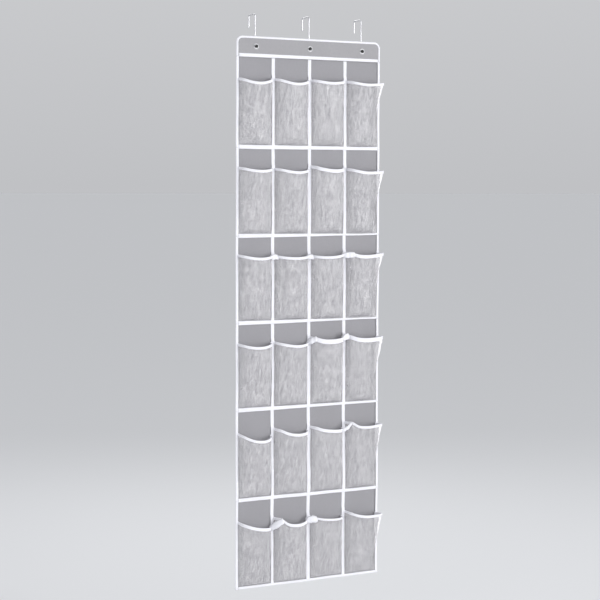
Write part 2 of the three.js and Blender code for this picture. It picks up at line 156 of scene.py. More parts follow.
# ---- how each pocket hangs open ----
# How far each mouth stands forward, how high its left and right ends are sewn above the nominal
# corner, how far its middle sags, how much further its right half hangs than its left, and how wide
# its binding shows, pocket by pocket from left to right.
MOUTHS = {
    1: {
        "depth": (31, 32, 33, 34), "ends": ((0, 0), (0, -2), (0, 0), (0, -2)),
        "sag": (17, 13, 10, 10), "tilt": (0, 4, 0, 0), "wide": (1, 1, 1, 1),
    },
    2: {
        "depth": (32, 33, 33, 35), "ends": ((6, 3), (3, 0), (7, 4), (4, 0)),
        "sag": (10, 9, 5, 9), "tilt": (0, 3, 6, 3), "wide": (1, 1, 1.3, 1.1),
    },
    3: {
        "depth": (32, 33, 34, 37), "ends": ((10, 6), (5, 4), (3, 8), (9, 11)),
        "sag": (9, 7, 7, 10), "tilt": (2, 0, 0, 0), "wide": (1, 1, 1, 1.3),
    },
    4: {
        "depth": (34, 33, 33, 34), "ends": ((6, 5), (5, 0), (13, 13), (14, 12)),
        "sag": (13, 7, 8, 9), "tilt": (0, 4, 0, 0), "wide": (1, 1, 1.7, 1.6),
    },
    5: {
        "depth": (34, 33, 32, 35), "ends": ((0, -16), (0, -9), (0, -11), (3, 0)),
        "sag": (19, 8, 4, 8), "tilt": (0, 4, 2, 2), "wide": (1, 1.1, 1.2, 1),
    },
    6: {
        "depth": (31, 33, 33, 38), "ends": ((3, -22), (0, -6), (-3, -13), (3, -9)),
        "sag": (9, 14, 6, 11), "tilt": (0, 3, 0, 0), "wide": (1.2, 1.1, 0.8, 1),
    },
}
# Where a mouth's edge is pushed up or down near a seam: column line, offset from it, height, width.
HUMPS = {
    1: [(4, -2, -4, 22)],
    2: [(2, 9, 3, 10), (4, -2, -5, 24)],
    3: [(3, 14, 3, 12), (4, -2, -4, 20)],
    4: [(2, 12, 3, 14), (3, 12, 3, 12), (4, -2, -3, 20)],
    5: [(1, 14, 5, 18), (2, 14, 3, 14), (3, 16, 8, 12), (4, -2, -3, 20)],
    6: [(1, 18, 9, 14), (4, -10, -3, 16)],
}
# Where the binding is gathered into a loose fold that lies over a column tape: column line,
# reach to the left and right, rise of its middle above its ends, height of the strap.
FOLDS = {
    3: [(1, 14, 11, 3, 15), (2, 13, 10, 3, 15), (3, 15, 20, 4, 17)],
    4: [(2, 7, 15, 5, 18), (3, 17, 11, 7, 17)],
    5: [(3, 18, 15, -2, 10)],
    6: [(1, 9, 22, 5, 22), (2, 12, 17, 7, 20)],
}

# The film's way across one half of a pocket, as offsets from its seam: where it lies when pressed
# flat, where it stands at the open mouth, and its depth there as a share of the mouth's.
ARCHED_SEAM = [
    (0, 0, 0), (7.4, 7.4, 0), (9, 8.6, 0.08), (12, 9.5, 0.42), (18, 16, 0.78), (34, 33, 1.02),
]
LEFT_EDGE = [
    (1.3, 1.3, 0), (9.4, 9.4, 0), (11, 10.4, 0.08), (14, 11.5, 0.42), (20, 18, 0.78), (36, 35, 1.02),
]
RIGHT_EDGE = [
    (1.3, 1.3, 0), (9.4, 9.4, 0), (11, 11, 0.045), (12, 2.5, 0.84), (16, 5, 1), (34, 30, 1.07),
]
MIDDLE_SHARE = 1.1
FILM_STEP = 2.0  # spacing of the film's points
FOOT_SHARE = 0.55  # how open a pocket already is at the top of its rounded foot
FOOT_LENGTH = 0.12  # that foot's height as a share of the pocket's
FOOT_LINES = 12  # lines of film points over that foot
UPPER_LINES = 76  # and over the rest of the pocket
HEM_LINES = 4  # and over the hem under it
FILM_HEM = 8.7  # length of film under the tape at its foot
LAST_FILM_HEM = 7.5  # and inside the hem of the last row
BESIDE_SEAM = 5.0  # how far from its column line a mouth's end is sewn down
RIGHT_TAPER = 55.0  # the last pocket closes towards its foot within this of the right edge
RIGHT_TAPER_FULL = 15.0  # and completely so within this
# The share of its height below which the right side of each row's last pocket is closed.
RIGHT_TAPER_FOOT = {1: 0.5, 2: 0.45, 3: 0.42, 4: 0.36, 5: 0.36, 6: 0.25}
GATHER_REACH = 17.0  # the film within this of the right edge is gathered at the mouth
COLUMN_SHARE = {1: 0.7, 2: 1.0, 3: 0.85}  # how wide each column tape shows where it is sewn to the film
WINDOW_SHARE = 0.88  # and above the pockets
# How wide the tape under each row shows at its left and right end. Row 0 is the header.
CROSS_SHARE = {0: (0.82, 0.7), 1: (1, 0.85), 2: (1, 0.4), 3: (1, 0.4), 4: (1, 0.55), 5: (0.9, 0.75)}


# ---- small mathematics ----
def smooth(t):
    t = np.clip(t, 0, 1)
    return t * t * (3 - 2 * t)


def between(ends, share):
    """A value between two."""
    return ends[0] + (ends[1] - ends[0]) * share


def unit(vectors):
    return vectors / np.maximum(np.linalg.norm(vectors, axis=-1, keepdims=True), 1e-9)


def wave_field(seed, size=64):
    """A seeded gradient noise in two dimensions, from about -1 to 1, that repeats after `size`."""
    angle = np.random.default_rng(seed).uniform(0, 2 * np.pi, (size, size))
    slope_u, slope_v = np.cos(angle), np.sin(angle)

    def value(u, v):
        column, line = np.floor(u).astype(int), np.floor(v).astype(int)
        along, up = u - column, v - line

        def corner(i, j):
            at = ((column + i) % size, (line + j) % size)
            return slope_u[at] * (along - i) + slope_v[at] * (up - j)

        share_u, share_v = smooth(along), smooth(up)
        low = corner(0, 0) * (1 - share_u) + corner(1, 0) * share_u
        high = corner(0, 1) * (1 - share_u) + corner(1, 1) * share_u
        return 1.5 * (low * (1 - share_v) + high * share_v)

    return value


SWAY = wave_field(3)
DRIFT = wave_field(5)
RIPPLE = wave_field(7)


def hang(points):
    """The soft panel's gentle waves, which begin below the stiff header."""
    points = np.array(points, float)
    x, z = points[..., 0].copy(), points[..., 2].copy()
    fall = smooth((seam_z(0) - 30 - z) / 300)
    points[..., 1] += 1.3 * fall * SWAY(x / 170 + 3.3, z / 210)
    points[..., 0] += 1.2 * fall * DRIFT(x / 420 + 7.1, z / 120)
    points[..., 2] += 0.8 * fall * RIPPLE(x / 90 + 1.7, z / 300)
    return points


def at(x, depth, z):
    """Points from widths, depths and heights."""
    x, depth, z = np.broadcast_arrays(x, depth, z)
    return np.stack([x, FRONT_Y - depth, z], -1).astype(float)


# ---- closed shells: each maker returns its points and faces ----
def loft(rings):
    """Closed rings of points joined one after the other, with flat ends."""
    count, around = rings.shape[:2]
    index = np.arange(count * around).reshape(count, around)
    a, b = index[:-1], index[1:]
    sides = np.stack([a, np.roll(a, -1, 1), np.roll(b, -1, 1), b], -1).reshape(-1, 4)
    return rings.reshape(-1, 3), sides.tolist() + [index[0].tolist(), index[-1].tolist()]


def skin(grid, thickness):
    """A grid of points turned into a sheet of even thickness."""
    normal = unit(np.cross(np.gradient(grid, axis=1), np.gradient(grid, axis=0)))
    lines, across = grid.shape[:2]
    front = np.arange(lines * across).reshape(lines, across)
    back = front + lines * across

    def quads(index):
        corners = [index[:-1, :-1], index[:-1, 1:], index[1:, 1:], index[1:, :-1]]
        return np.stack(corners, -1).reshape(-1, 4)

    rim = np.concatenate([front[0, :-1], front[:-1, -1], front[-1, :0:-1], front[:0:-1, 0]])
    after = np.roll(rim, -1)
    walls = np.stack([rim, after, after + lines * across, rim + lines * across], -1)
    faces = np.concatenate([quads(front), quads(back)[:, ::-1], walls[:, ::-1]])
    offset = normal * thickness / 2
    points = np.concatenate([(grid + offset).reshape(-1, 3), (grid - offset).reshape(-1, 3)])
    return points, faces.tolist()


def join(shells):
    """Several shells as one."""
    points, faces, count = [], [], 0
    for shell_points, shell_faces in shells:
        points.append(shell_points)
        faces += [[i + count for i in face] for face in shell_faces]
        count += len(shell_points)
    return np.concatenate(points), faces


def band(path, across, out, section, width=1.0):
    """A section of (across, out) pairs swept along a path, as wide as it is drawn times `width`."""
    section = np.asarray(section, float)
    across, out = (np.broadcast_to(v, path.shape) for v in (across, out))
    width = np.broadcast_to(width, len(path))[:, None, None]
    rings = (
        path[:, None]
        + width * across[:, None] * section[None, :, :1]
        + out[:, None] * section[None, :, 1:]
    )
    return loft(rings)


def turned(x, profile, steps):
    """A solid of revolution about the forward line through an eyelet, from (radius, depth) pairs."""
    turn = np.linspace(0, 2 * np.pi, steps, endpoint=False)
    radius, depth = np.array(profile, float).T
    rings = at(
        x + radius[None] * np.cos(turn)[:, None],
        np.repeat(depth[None], steps, 0),
        EYELET_Z + radius[None] * np.sin(turn)[:, None],
    )
    index = np.arange(steps * len(profile)).reshape(steps, len(profile))
    after = np.roll(index, -1, 0)
    quads = np.stack([index, np.roll(index, -1, 1), np.roll(after, -1, 1), after], -1)
    return rings.reshape(-1, 3), quads.reshape(-1, 4).tolist()


STITCH_PITCH = 4.2
STITCH_RINGS = [(-1.5, 0.1), (-1.0, 0.3), (1.0, 0.3), (1.5, 0.1)]  # along the thread, radius
STITCH_SIDES = 5


def stitches(path, out):
    """A line of sewing thread along a path, one small spindle for each stitch."""
    out = np.broadcast_to(np.asarray(out, float), path.shape)
    run = np.concatenate([[0], np.cumsum(np.linalg.norm(np.diff(path, axis=0), axis=1))])
    middle = np.arange(STITCH_PITCH / 2, run[-1], STITCH_PITCH)

    def sample(values, where):
        return np.stack([np.interp(where, run, values[:, i]) for i in range(3)], -1)

    centre = sample(path, middle)
    along = unit(sample(path, middle + 0.5) - sample(path, middle - 0.5))
    up = unit(sample(out, middle))
    side = np.cross(along, up)
    turn = np.linspace(0, 2 * np.pi, STITCH_SIDES, endpoint=False)
    spoke = side[:, None] * np.cos(turn)[None, :, None] + up[:, None] * np.sin(turn)[None, :, None]
    points = np.stack(
        [centre[:, None] + along[:, None] * shift + spoke * radius for shift, radius in STITCH_RINGS], 1
    )
    per_stitch = len(STITCH_RINGS) * STITCH_SIDES
    _, faces = loft(points[0])
    all_faces = [[i + k * per_stitch for i in face] for k in range(len(middle)) for face in faces]
    return points.reshape(-1, 3), all_faces


# ---- materials ----
def colour(red, green, blue, share=1.0):
    """A screen colour, 0 to 255, as the linear colour that shows so, dimmed to a share of it."""
    channels = np.array([red, green, blue]) / 255
    linear = np.where(channels <= 0.04045, channels / 12.92, ((channels + 0.055) / 1.055) ** 2.4)
    return (*(linear * share), 1.0)


class Shader:
    """A material with one Principled surface, and short ways to add nodes to it."""

    def __init__(self, name, **surface):
        self.material = bpy.data.materials.new(name)
        self.material.use_nodes = True
        self.tree = self.material.node_tree
        self.surface = self.tree.nodes["Principled BSDF"]
        self.set(self.surface, surface)
        self.coordinates = self.tree.nodes.new("ShaderNodeTexCoord").outputs["Object"]

    def set(self, target, inputs):
        for key, value in inputs.items():
            socket = target.inputs[key.replace("_", " ") if isinstance(key, str) else key]
            if isinstance(value, bpy.types.NodeSocket):
                self.tree.links.new(value, socket)
            else:
                socket.default_value = value

    def add(self, kind, settings=None, **inputs):
        made = self.tree.nodes.new("ShaderNode" + kind)
        for key, value in (settings or {}).items():
            setattr(made, key, value)
        self.set(made, inputs)
        return made

    def math(self, operation, *values):
        made = self.add("Math", {"operation": operation})
        self.set(made, dict(enumerate(values)))
        return made.outputs[0]

    def placed(self, scale, turn=(0, 0, 0)):
        """The piece's own coordinates, stretched and turned."""
        return self.add("Mapping", Vector=self.coordinates, Scale=scale, Rotation=turn).outputs[0]

    def noise(self, scale, detail=3.0, stretch=(1, 1, 1)):
        where = self.placed(stretch)
        return self.add("TexNoise", Vector=where, Scale=scale, Detail=detail).outputs[0]

    def wrinkles(self, scale, length, lean):
        """A noise drawn out upwards, and leaning sideways by an angle."""
        drawn = {"Scale": (1, 1, length), "Rotation": (0, lean, 0)}
        along = self.add("Mapping", {"vector_type": "TEXTURE"}, Vector=self.coordinates, **drawn)
        where = along.outputs[0]
        return self.add("TexNoise", Vector=where, Scale=scale, Detail=4, Distortion=0.8).outputs[0]

    def blend(self, share, first, second):
        made = self.add("Mix", {"data_type": "RGBA"}, Factor=share)
        self.set(made, {6: first, 7: second})
        return made.outputs[2]

    def ramp(self, value, low, high, to_low=0.0, to_high=1.0):
        inputs = {"From Min": low, "From Max": high, "To Min": to_low, "To Max": to_high}
        made = self.add("MapRange", Value=value)
        self.set(made, inputs)
        return made.outputs[0]

    def bump(self, height, distance, strength):
        return self.add("Bump", Height=height, Distance=distance, Strength=strength).outputs[0]

    def grid_of_dots(self, pitch, turn):
        """Distance from the nearest point of a square grid in the panel's plane."""
        where = self.placed((1, 1, 1), (np.pi / 2, 0, turn))
        dots = self.add("TexVoronoi", {"voronoi_dimensions": "2D"}, Vector=where, Randomness=0.12)
        dots.inputs["Scale"].default_value = 1 / (pitch * MM)
        return dots.outputs["Distance"]


BOND_PITCH = 1.5  # between the fabric's pressed dots
WEAVE_PITCH = 0.9  # between the tape's threads


def nonwoven(name, tint):
    """Spun-bonded fabric: matt matted fibres, pressed together at a grid of small dots."""
    shader = Shader(name, Roughness=0.92, Sheen_Weight=0.12, Sheen_Roughness=0.6)
    dots = shader.ramp(shader.grid_of_dots(BOND_PITCH, np.pi / 4), 0.18, 0.42)
    fibres = shader.noise(520, 5, (1, 1, 0.35))
    patches = shader.ramp(shader.noise(9, 2), 0.3, 0.7, 0.0, 0.4)
    shade = shader.math("ADD", shader.ramp(fibres, 0.3, 0.7, 0.0, 0.6), patches)
    plain = shader.blend(shade, colour(*tint, 0.90), colour(*tint, 1.06))
    height = shader.math("ADD", shader.math("MULTIPLY", dots, 0.8), shader.math("MULTIPLY", fibres, 0.5))
    shader.set(shader.surface, {
        "Base Color": shader.blend(dots, colour(*tint, 0.86), plain),
        "Roughness": shader.ramp(dots, 0, 1, 0.7, 0.95),
        "Normal": shader.bump(height, 0.00016, 0.6),
    })
    return shader.material


def ribbed_tape(name, tint):
    """White binding tape: a fine even weave with slightly loose fibres."""
    shader = Shader(name, Roughness=0.85, Sheen_Weight=0.2, Sheen_Roughness=0.5)
    weave = shader.ramp(shader.grid_of_dots(WEAVE_PITCH, 0.0), 0.1, 0.5)
    fibres = shader.noise(700, 4)
    worn = shader.ramp(shader.noise(24, 3), 0.4, 0.8, 0, 0.3)
    cloth = shader.blend(weave, colour(*tint), colour(*tint, 0.92))
    height = shader.math("SUBTRACT", shader.math("MULTIPLY", fibres, 0.4), weave)
    shader.set(shader.surface, {
        "Base Color": shader.blend(worn, cloth, colour(*tint, 0.86)),
        "Roughness": shader.ramp(fibres, 0.3, 0.7, 0.75, 0.95),
        "Normal": shader.bump(height, 0.00012, 0.6),
    })
    return shader.material


def clear_film(name, alpha, plain):
    """Thin clear plastic, as grey as `plain` where it is smooth, and whiter where it is creased: partly
    the film's own milky haze, partly painted highlight.

    The creases are in the mesh, as an attribute, which also carries painted light on the pockets' side
    walls. Fine wrinkles lie between them, as painted highlight streaks.
    """
    shader = Shader(name, Alpha=alpha, IOR=1.5, Specular_IOR_Level=0.35)
    crease_and_painted_light = shader.add("Attribute", {"attribute_name": "crease_and_painted_light"}).outputs["Fac"]
    upright = shader.ramp(shader.wrinkles(230, 6, 0.05), 0.42, 0.58, 0, 0.38)
    slanted = shader.ramp(shader.wrinkles(210, 4, 0.5), 0.46, 0.6, 0, 0.22)
    # The wrinkle streaks and creases whiten the film: partly its own milky haze, partly painted
    # highlight in place of glints off the crinkles.
    streaks = shader.math("ADD", upright, slanted)
    haze_and_painted_highlight = shader.math("ADD", shader.math("MULTIPLY", crease_and_painted_light, 0.5), streaks)
    fine = shader.noise(420, 4, (1, 1, 0.4))
    shader.set(shader.surface, {
        "Base Color": shader.blend(haze_and_painted_highlight, colour(plain, plain - 1, plain + 4), colour(255, 254, 255)),
        "Roughness": shader.ramp(shader.noise(35, 3), 0.3, 0.7, 0.16, 0.32),
        "Normal": shader.bump(fine, 0.00025, 0.5),
    })
    return shader.material


def metal(name, tint, low, high, scale, stretch):
    """Bare metal with fine marks from handling or drawing."""
    shader = Shader(name, Metallic=1.0)
    marks = shader.noise(scale, 4, stretch)
    shader.set(shader.surface, {
        "Base Color": shader.blend(marks, colour(*tint, 0.9), colour(*tint)),
        "Roughness": shader.ramp(marks, 0.3, 0.7, low, high),
        "Normal": shader.bump(marks, 0.00002, 0.3),
    })
    return shader.material


def vinyl(name):
    shader = Shader(name, Specular_IOR_Level=0.5)
    grain = shader.noise(1800, 3)
    shader.set(shader.surface, {
        "Base Color": shader.blend(grain, colour(8, 8, 9), colour(18, 18, 19)),
        "Roughness": shader.ramp(shader.noise(400), 0.3, 0.7, 0.34, 0.5),
        "Normal": shader.bump(grain, 0.00004, 0.5),
    })
    return shader.material


def cardboard(name):
    shader = Shader(name, Roughness=0.9)
    fibres = shader.noise(300, 5, (1, 1, 0.3))
    shader.set(shader.surface, {
        "Base Color": shader.blend(fibres, colour(168, 148, 118), colour(196, 178, 148)),
        "Normal": shader.bump(fibres, 0.0001, 0.5),
    })
    return shader.material


GREY_FABRIC = nonwoven("grey_nonwoven", (148, 147, 151))
HEADER_FABRIC = nonwoven("header_nonwoven", (156, 155, 158))
WHITE_TAPE = ribbed_tape("white_tape", (234, 234, 240))
THREAD = ribbed_tape("white_thread", (240, 240, 244))
FILM = clear_film("creased_film", 0.255, 180)
GATHERED_FILM = clear_film("gathered_film", 0.92, 232)
CHROME = metal("polished_wire", (222, 222, 225), 0.3, 0.38, 900, (1, 1, 0.05))
NICKEL = metal("nickel_eyelet", (190, 190, 193), 0.42, 0.55, 1400, (1, 1, 1))
VINYL = vinyl("black_vinyl_cap")
BOARD = cardboard("stiffener_cardboard")


# ---- objects ----
def mesh_object(name, shell, material, node, crease_and_painted_light=None):
    """A piece from a shell in millimetres, which stands for a CAD node unless `node` is None."""
    points, faces = shell
    mesh = bpy.data.meshes.new(name)
    mesh.from_pydata((points * MM).tolist(), [], faces)
    if crease_and_painted_light is not None:
        mesh.attributes.new("crease_and_painted_light", "FLOAT", "POINT").data.foreach_set("value", crease_and_painted_light)
    work = bmesh.new()
    work.from_mesh(mesh)
    bmesh.ops.recalc_face_normals(work, faces=work.faces)
    work.to_mesh(mesh)
    work.free()
    mesh.polygons.foreach_set("use_smooth", [True] * len(mesh.polygons))
    mesh.materials.append(material)
    made = bpy.data.objects.new(name, mesh)
    bpy.context.scene.collection.objects.link(made)
    if node:
        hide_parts(node)
    return made


def tape_object(name, shell, node):
    return mesh_object(name, shell, WHITE_TAPE, node)


def thread_object(name, shell):
    return mesh_object(name, shell, THREAD, None)


def bend_at_fold(piece):
    """Bakes the piece's placement into its mesh."""
    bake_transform(piece)


# ---- bindings and tapes ----
RIGHT = np.array([1.0, 0, 0])
FORWARD = np.array([0, -1.0, 0])
UP = np.array([0, 0, 1.0])
STITCH_INSET = 2.2  # from a binding's inner edge to its stitches
EDGE_STITCH = EDGE_W - STITCH_INSET
HEADER_RIM_W = 6.2  # how wide the header's binding shows
TAPE_STITCH = 4.3  # from the middle of a tape to each line of its stitches
TAPE_SECTION = [
    (-6, 0), (-6, 0.5), (-5.4, 0.78), (-4.3, 0.62), (-3.2, 0.84), (0, 0.9),
    (3.2, 0.84), (4.3, 0.62), (5.4, 0.78), (6, 0.5), (6, 0),
]
TAPE_FACE = 0.7  # depth of the stitches over a tape's back
CROSS_FACE = 1.0  # and over a cross tape's, which is thicker
CROSS_THICKER = 1.4
BEND_STEP = 1.5  # spacing of the points where the cloth bends
STEP_UP = 7.0  # height over which a column tape comes forward onto the film
SIDE_REACH = HALF_W - EDGE_W - 0.1
ACROSS = np.linspace(-SIDE_REACH, SIDE_REACH, 120)  # points along a tape between the edge bindings
COLUMN_SEED, CROSS_SEED, FILM_SEED, STRAP_SEED = 40, 80, 100, 200


def fold_section(front, width=EDGE_W):
    """A tape folded round an edge, with a groove at its stitches: (distance inwards, depth) pairs."""
    middle, half = (front + BACK) / 2, (front - BACK) / 2
    turn = np.linspace(np.pi / 2, 3 * np.pi / 2, 9)
    inner_half = half - TAPE_T
    groove = width - STITCH_INSET
    outside = [(half + half * np.cos(t), middle + half * np.sin(t)) for t in turn]
    inside = [(half + inner_half * np.cos(t), middle + inner_half * np.sin(t)) for t in turn[::-1]]
    return [
        (width, front - 0.3), (width - 0.7, front), (groove, front - 0.2), (groove - 1, front + 0.05),
        *outside,
        (groove, BACK + 0.1), (width - 0.5, BACK), (width, BACK + 0.3), (width, BACK + TAPE_T),
        *inside,
        (width, front - TAPE_T),
    ]


def heights(top, bottom, step=7.0):
    """Heights from top to bottom, close together where the cloth bends."""
    fine = np.arange(top, top - BEND_LENGTH - 2 * BEND_STEP, -BEND_STEP)
    rest = np.linspace(fine[-1] - BEND_STEP, bottom, int((fine[-1] - bottom) / step))
    return np.concatenate([fine, rest])


def column_depth(row, column, z):
    """How far forward a column tape's back lies: on the fabric above the pockets, on the film below."""
    top = corner_z(row, column) + 3 + STEP_UP
    return between((WINDOW_TAPE, OVER_FILM), smooth((top - z) / STEP_UP))


def column_width(row, column, z):
    """How wide a column tape shows: it is gathered where it is sewn to the film."""
    sewn = smooth((corner_z(row, column) - z) / 12) * smooth((z - seam_z(row)) / 20)
    uneven = wave_field(COLUMN_SEED + 4 * row + column)(z / 24, z / 190)
    return between((WINDOW_SHARE, COLUMN_SHARE[column]), sewn) + (0.04 + 0.06 * sewn) * uneven


def cross_width(row):
    """How wide the tape under a row shows along its length."""
    uneven = wave_field(CROSS_SEED + row)(ACROSS / 40, ACROSS / 310)
    return between(CROSS_SHARE[row], smooth((ACROSS / HALF_W + 1) / 2)) + 0.04 * uneven


def tape_stitches(path, across, width, face):
    """The two lines of stitches along a tape."""
    offsets = [across * side * width[:, None] for side in (-TAPE_STITCH, TAPE_STITCH)]
    return [stitches(path + offset + FORWARD * face, FORWARD) for offset in offsets]


def column_tapes(row):
    """The three column tapes of a row, with their stitches."""
    shells, threads = [], []
    z = heights(cloth_top(row), seam_z(row) + (0 if row < ROWS else EDGE_W / 2), 4.0)
    for column in range(1, COLUMNS):
        path = at(seam_x(column), column_depth(row, column, z), z)
        width = column_width(row, column, z)
        shells.append(band(path, RIGHT, FORWARD, TAPE_SECTION, width))
        threads += tape_stitches(path, RIGHT, width, TAPE_FACE)
    return shells, threads


def cross_tape(row):
    """The tape under a row, with its stitches."""
    path = at(ACROSS, OVER_FILM, seam_z(row))
    width = cross_width(row)
    section = np.array(TAPE_SECTION) * (1, CROSS_THICKER)
    return band(path, UP, FORWARD, section, width), tape_stitches(path, UP, width, CROSS_FACE)


def folded_hem():
    """The binding folded round the last row's lower edge, with its stitches."""
    path = at(ACROSS, 0, seam_z(ROWS))
    front = OVER_FILM + 1.2
    thread = stitches(path + UP * EDGE_STITCH + FORWARD * (front - 0.1), FORWARD)
    return band(path, UP, FORWARD, fold_section(front)), [thread]


def row_tapes(row):
    """The column tapes of a row and the tape or folded hem under it, with their stitches."""
    shells, threads = column_tapes(row)
    shell, hem_threads = cross_tape(row) if row < ROWS else folded_hem()
    return [*shells, shell], [*threads, *hem_threads]


def edge_binding(row, side):
    """The binding folded round one long edge, and its stitches."""
    z = heights(cloth_top(row), cloth_bottom(row), 6.0)
    path = at(side * HALF_W, 0, z)
    front = OVER_FILM + TAPE_T
    shell = band(path, -side * RIGHT, FORWARD, fold_section(front))
    thread = stitches(path - side * RIGHT * EDGE_STITCH + FORWARD * (front - 0.15), FORWARD)
    return shell, thread


# ---- film pockets ----
def rounded(stations, times=2):
    """Cuts the corners of a line of stations, and keeps its ends."""
    line = np.array(stations, float)
    for _ in range(times):
        near = 0.75 * line[:-1] + 0.25 * line[1:]
        far = 0.25 * line[:-1] + 0.75 * line[1:]
        line = np.concatenate([line[:1], np.stack([near, far], 1).reshape(-1, 3)[1:-1], line[-1:]])
    return line


def pocket_stations(column, depth):
    """A pocket's stations from left to right, evenly spaced along the open mouth."""
    left = LEFT_EDGE if column == 0 else ARCHED_SEAM
    right = RIGHT_EDGE if column == COLUMNS - 1 else ARCHED_SEAM
    x0, x1 = seam_x(column), seam_x(column + 1)
    middle = ((x0 + x1) / 2, (x0 + x1) / 2, MIDDLE_SHARE)
    line = [(x0 + flat, x0 + opened, share) for flat, opened, share in left]
    line.append(middle)
    line += [(x1 - flat, x1 - opened, share) for flat, opened, share in reversed(right)]
    line = rounded(line)
    run = np.hypot(np.diff(line[:, 1]), np.diff(line[:, 2]) * depth)
    run = np.concatenate([[0], np.cumsum(run)])
    where = np.linspace(0, run[-1], int(run[-1] / FILM_STEP))
    return np.stack([np.interp(where, run, line[:, i]) for i in range(3)], -1), where


class Mouths:
    """The line of a row's film along its open mouths, from left to right."""

    def __init__(self, row):
        facts = MOUTHS[row]
        parts = {key: [] for key in ("flat", "open", "depth", "share", "run", "drop", "wide")}
        total = 0.0
        for column in range(COLUMNS):
            line, run = pocket_stations(column, facts["depth"][column])
            if column:
                line, run = line[1:], run[1:]
            u = np.clip((line[:, 1] - seam_x(column)) / PITCH, 0, 1)
            arch = 1 - (2 * u - 1) ** 2
            parts["flat"].append(line[:, 0])
            parts["open"].append(line[:, 1])
            parts["share"].append(line[:, 2])
            parts["depth"].append(line[:, 2] * facts["depth"][column])
            parts["run"].append(run + total)
            parts["drop"].append(
                facts["sag"][column] * arch + facts["tilt"][column] * u * np.sin(np.pi * u) ** 2
            )
            parts["wide"].append(1 + (facts["wide"][column] - 1) * smooth(arch / 0.5))
            total += run[-1]
        for key, values in parts.items():
            setattr(self, key, np.concatenate(values))
        sewn_x, sewn_height = self.sewn_ends(facts["ends"])
        self.drop -= np.interp(self.flat, sewn_x, sewn_height)
        for column, offset, height, width in HUMPS.get(row, []):
            self.drop -= height * np.exp(-(((self.open - seam_x(column) - offset) / width) ** 2))
        self.row = row

    @staticmethod
    def sewn_ends(ends):
        """Where the mouths' ends are sewn down, beside each column line, and how high."""
        x = []
        for column in range(COLUMNS):
            x += [seam_x(column) + BESIDE_SEAM, seam_x(column + 1) - BESIDE_SEAM]
        return x, [height for pair in ends for height in pair]

    def points(self, openness, height_share):
        """The film's points where it is that far open, at that share of the height up to its edge."""
        foot = self.foot()
        from_edge = HALF_W - self.flat
        beside_edge = smooth((RIGHT_TAPER - from_edge) / (RIGHT_TAPER - RIGHT_TAPER_FULL))
        tapered = min(self.right_openness(height_share), openness)
        openness = openness + (tapered - openness) * beside_edge
        x = self.flat + (self.open - self.flat) * openness
        z = foot + height_share * (corner_z(self.row) - self.drop - foot)
        return at(x, FLANGE + self.depth * openness, z)

    def right_openness(self, height_share):
        """How far open the last pocket's right side is at a share of its height."""
        closed = RIGHT_TAPER_FOOT[self.row]
        return np.clip((height_share - closed) / (1 - closed), 0, 1)

    def foot(self):
        """Height of the lowest film that the tape or hem leaves free."""
        return seam_z(self.row) + (EDGE_W if self.row == ROWS else TAPE_W / 2) + 0.7


def openness(height_share):
    """How far open a pocket is at a share of its height: its foot is round, and its sides straight."""
    foot = 1 - np.clip(height_share / FOOT_LENGTH, 0, 1)
    return FOOT_SHARE * np.sqrt(1 - foot**2) + (1 - FOOT_SHARE) * height_share


def film_grid(row, mouths):
    """The uncreased film's points, from its hem upwards, and each line's share of the height."""
    hem = FILM_HEM if row < ROWS else LAST_FILM_HEM
    foot = FOOT_LENGTH * np.linspace(0, 1, FOOT_LINES)[1:] ** 2
    shares = np.concatenate([foot, np.linspace(FOOT_LENGTH, 1, UPPER_LINES)[1:]])
    lines = [mouths.points(0, 0) - UP * below for below in np.linspace(hem, 0, HEM_LINES)]
    lines += [mouths.points(openness(share), share) for share in shares]
    return np.stack(lines), np.concatenate([np.zeros(HEM_LINES), shares])[:, None]


def film_waves(row, run, z):
    """Seeded waves over the film, mostly upright: coarse, middle and fine ones, and a broad swell."""
    def wave(layer, u, v):
        return wave_field(FILM_SEED + 10 * layer + row)(u, v)

    across = run + 7 * wave(0, run / 60, z / 70) + 9 * wave(1, run / 55, z / 90)
    coarse = wave(2, across / 11, z / 62)
    middle = wave(3, across / 6.5, z / 34)
    fine = wave(4, across / 4.6, z / 16)
    swell = wave(5, run / 45, z / 80)
    return coarse, middle, fine, swell


def film(row):
    """A row's film: its shell, how creased each point is, with painted light on its side walls, which
    points are gathered, and its mouths.
    """
    mouths = Mouths(row)
    grid, share = film_grid(row, mouths)
    coarse, middle, fine, swell = film_waves(row, mouths.run[None], grid[..., 2])
    pinned = smooth(mouths.share[None] / 0.5)
    free = smooth(share / 0.05) * (1 - 0.8 * smooth((share - 0.9) / 0.08)) * (0.12 + 0.88 * pinned)
    lift = 2.2 * np.abs(coarse) + 1.3 * np.abs(middle) + 0.5 * np.abs(fine) + 2.2 * swell - 1.0
    normal = unit(np.cross(np.gradient(grid, axis=1), np.gradient(grid, axis=0)))
    grid = grid + normal * (free * lift)[..., None]

    ridge = sum(
        weight * np.exp(-((wave / sharpness) ** 2))
        for wave, weight, sharpness in ((coarse, 1, 0.10), (middle, 0.7, 0.11), (fine, 0.45, 0.13))
    )
    # Painted light: the film is made whiter near its seams and on the pockets' side walls, to lift the
    # shade that falls there.
    side_wall = smooth((0.9 - mouths.share) / 0.3)[None]
    crease_and_painted_light = np.clip(0.2 + 0.75 * ridge * free + 0.5 * side_wall, 0, 1)
    crease_and_painted_light = np.concatenate([crease_and_painted_light.ravel(), crease_and_painted_light.ravel()]).astype(np.float32)
    reach = GATHER_REACH * mouths.right_openness(share)
    gathered = (HALF_W - mouths.open[None] < reach) & (mouths.share[None] > 0.02)
    return skin(hang(grid), FILM_T), crease_and_painted_light, gathered, mouths


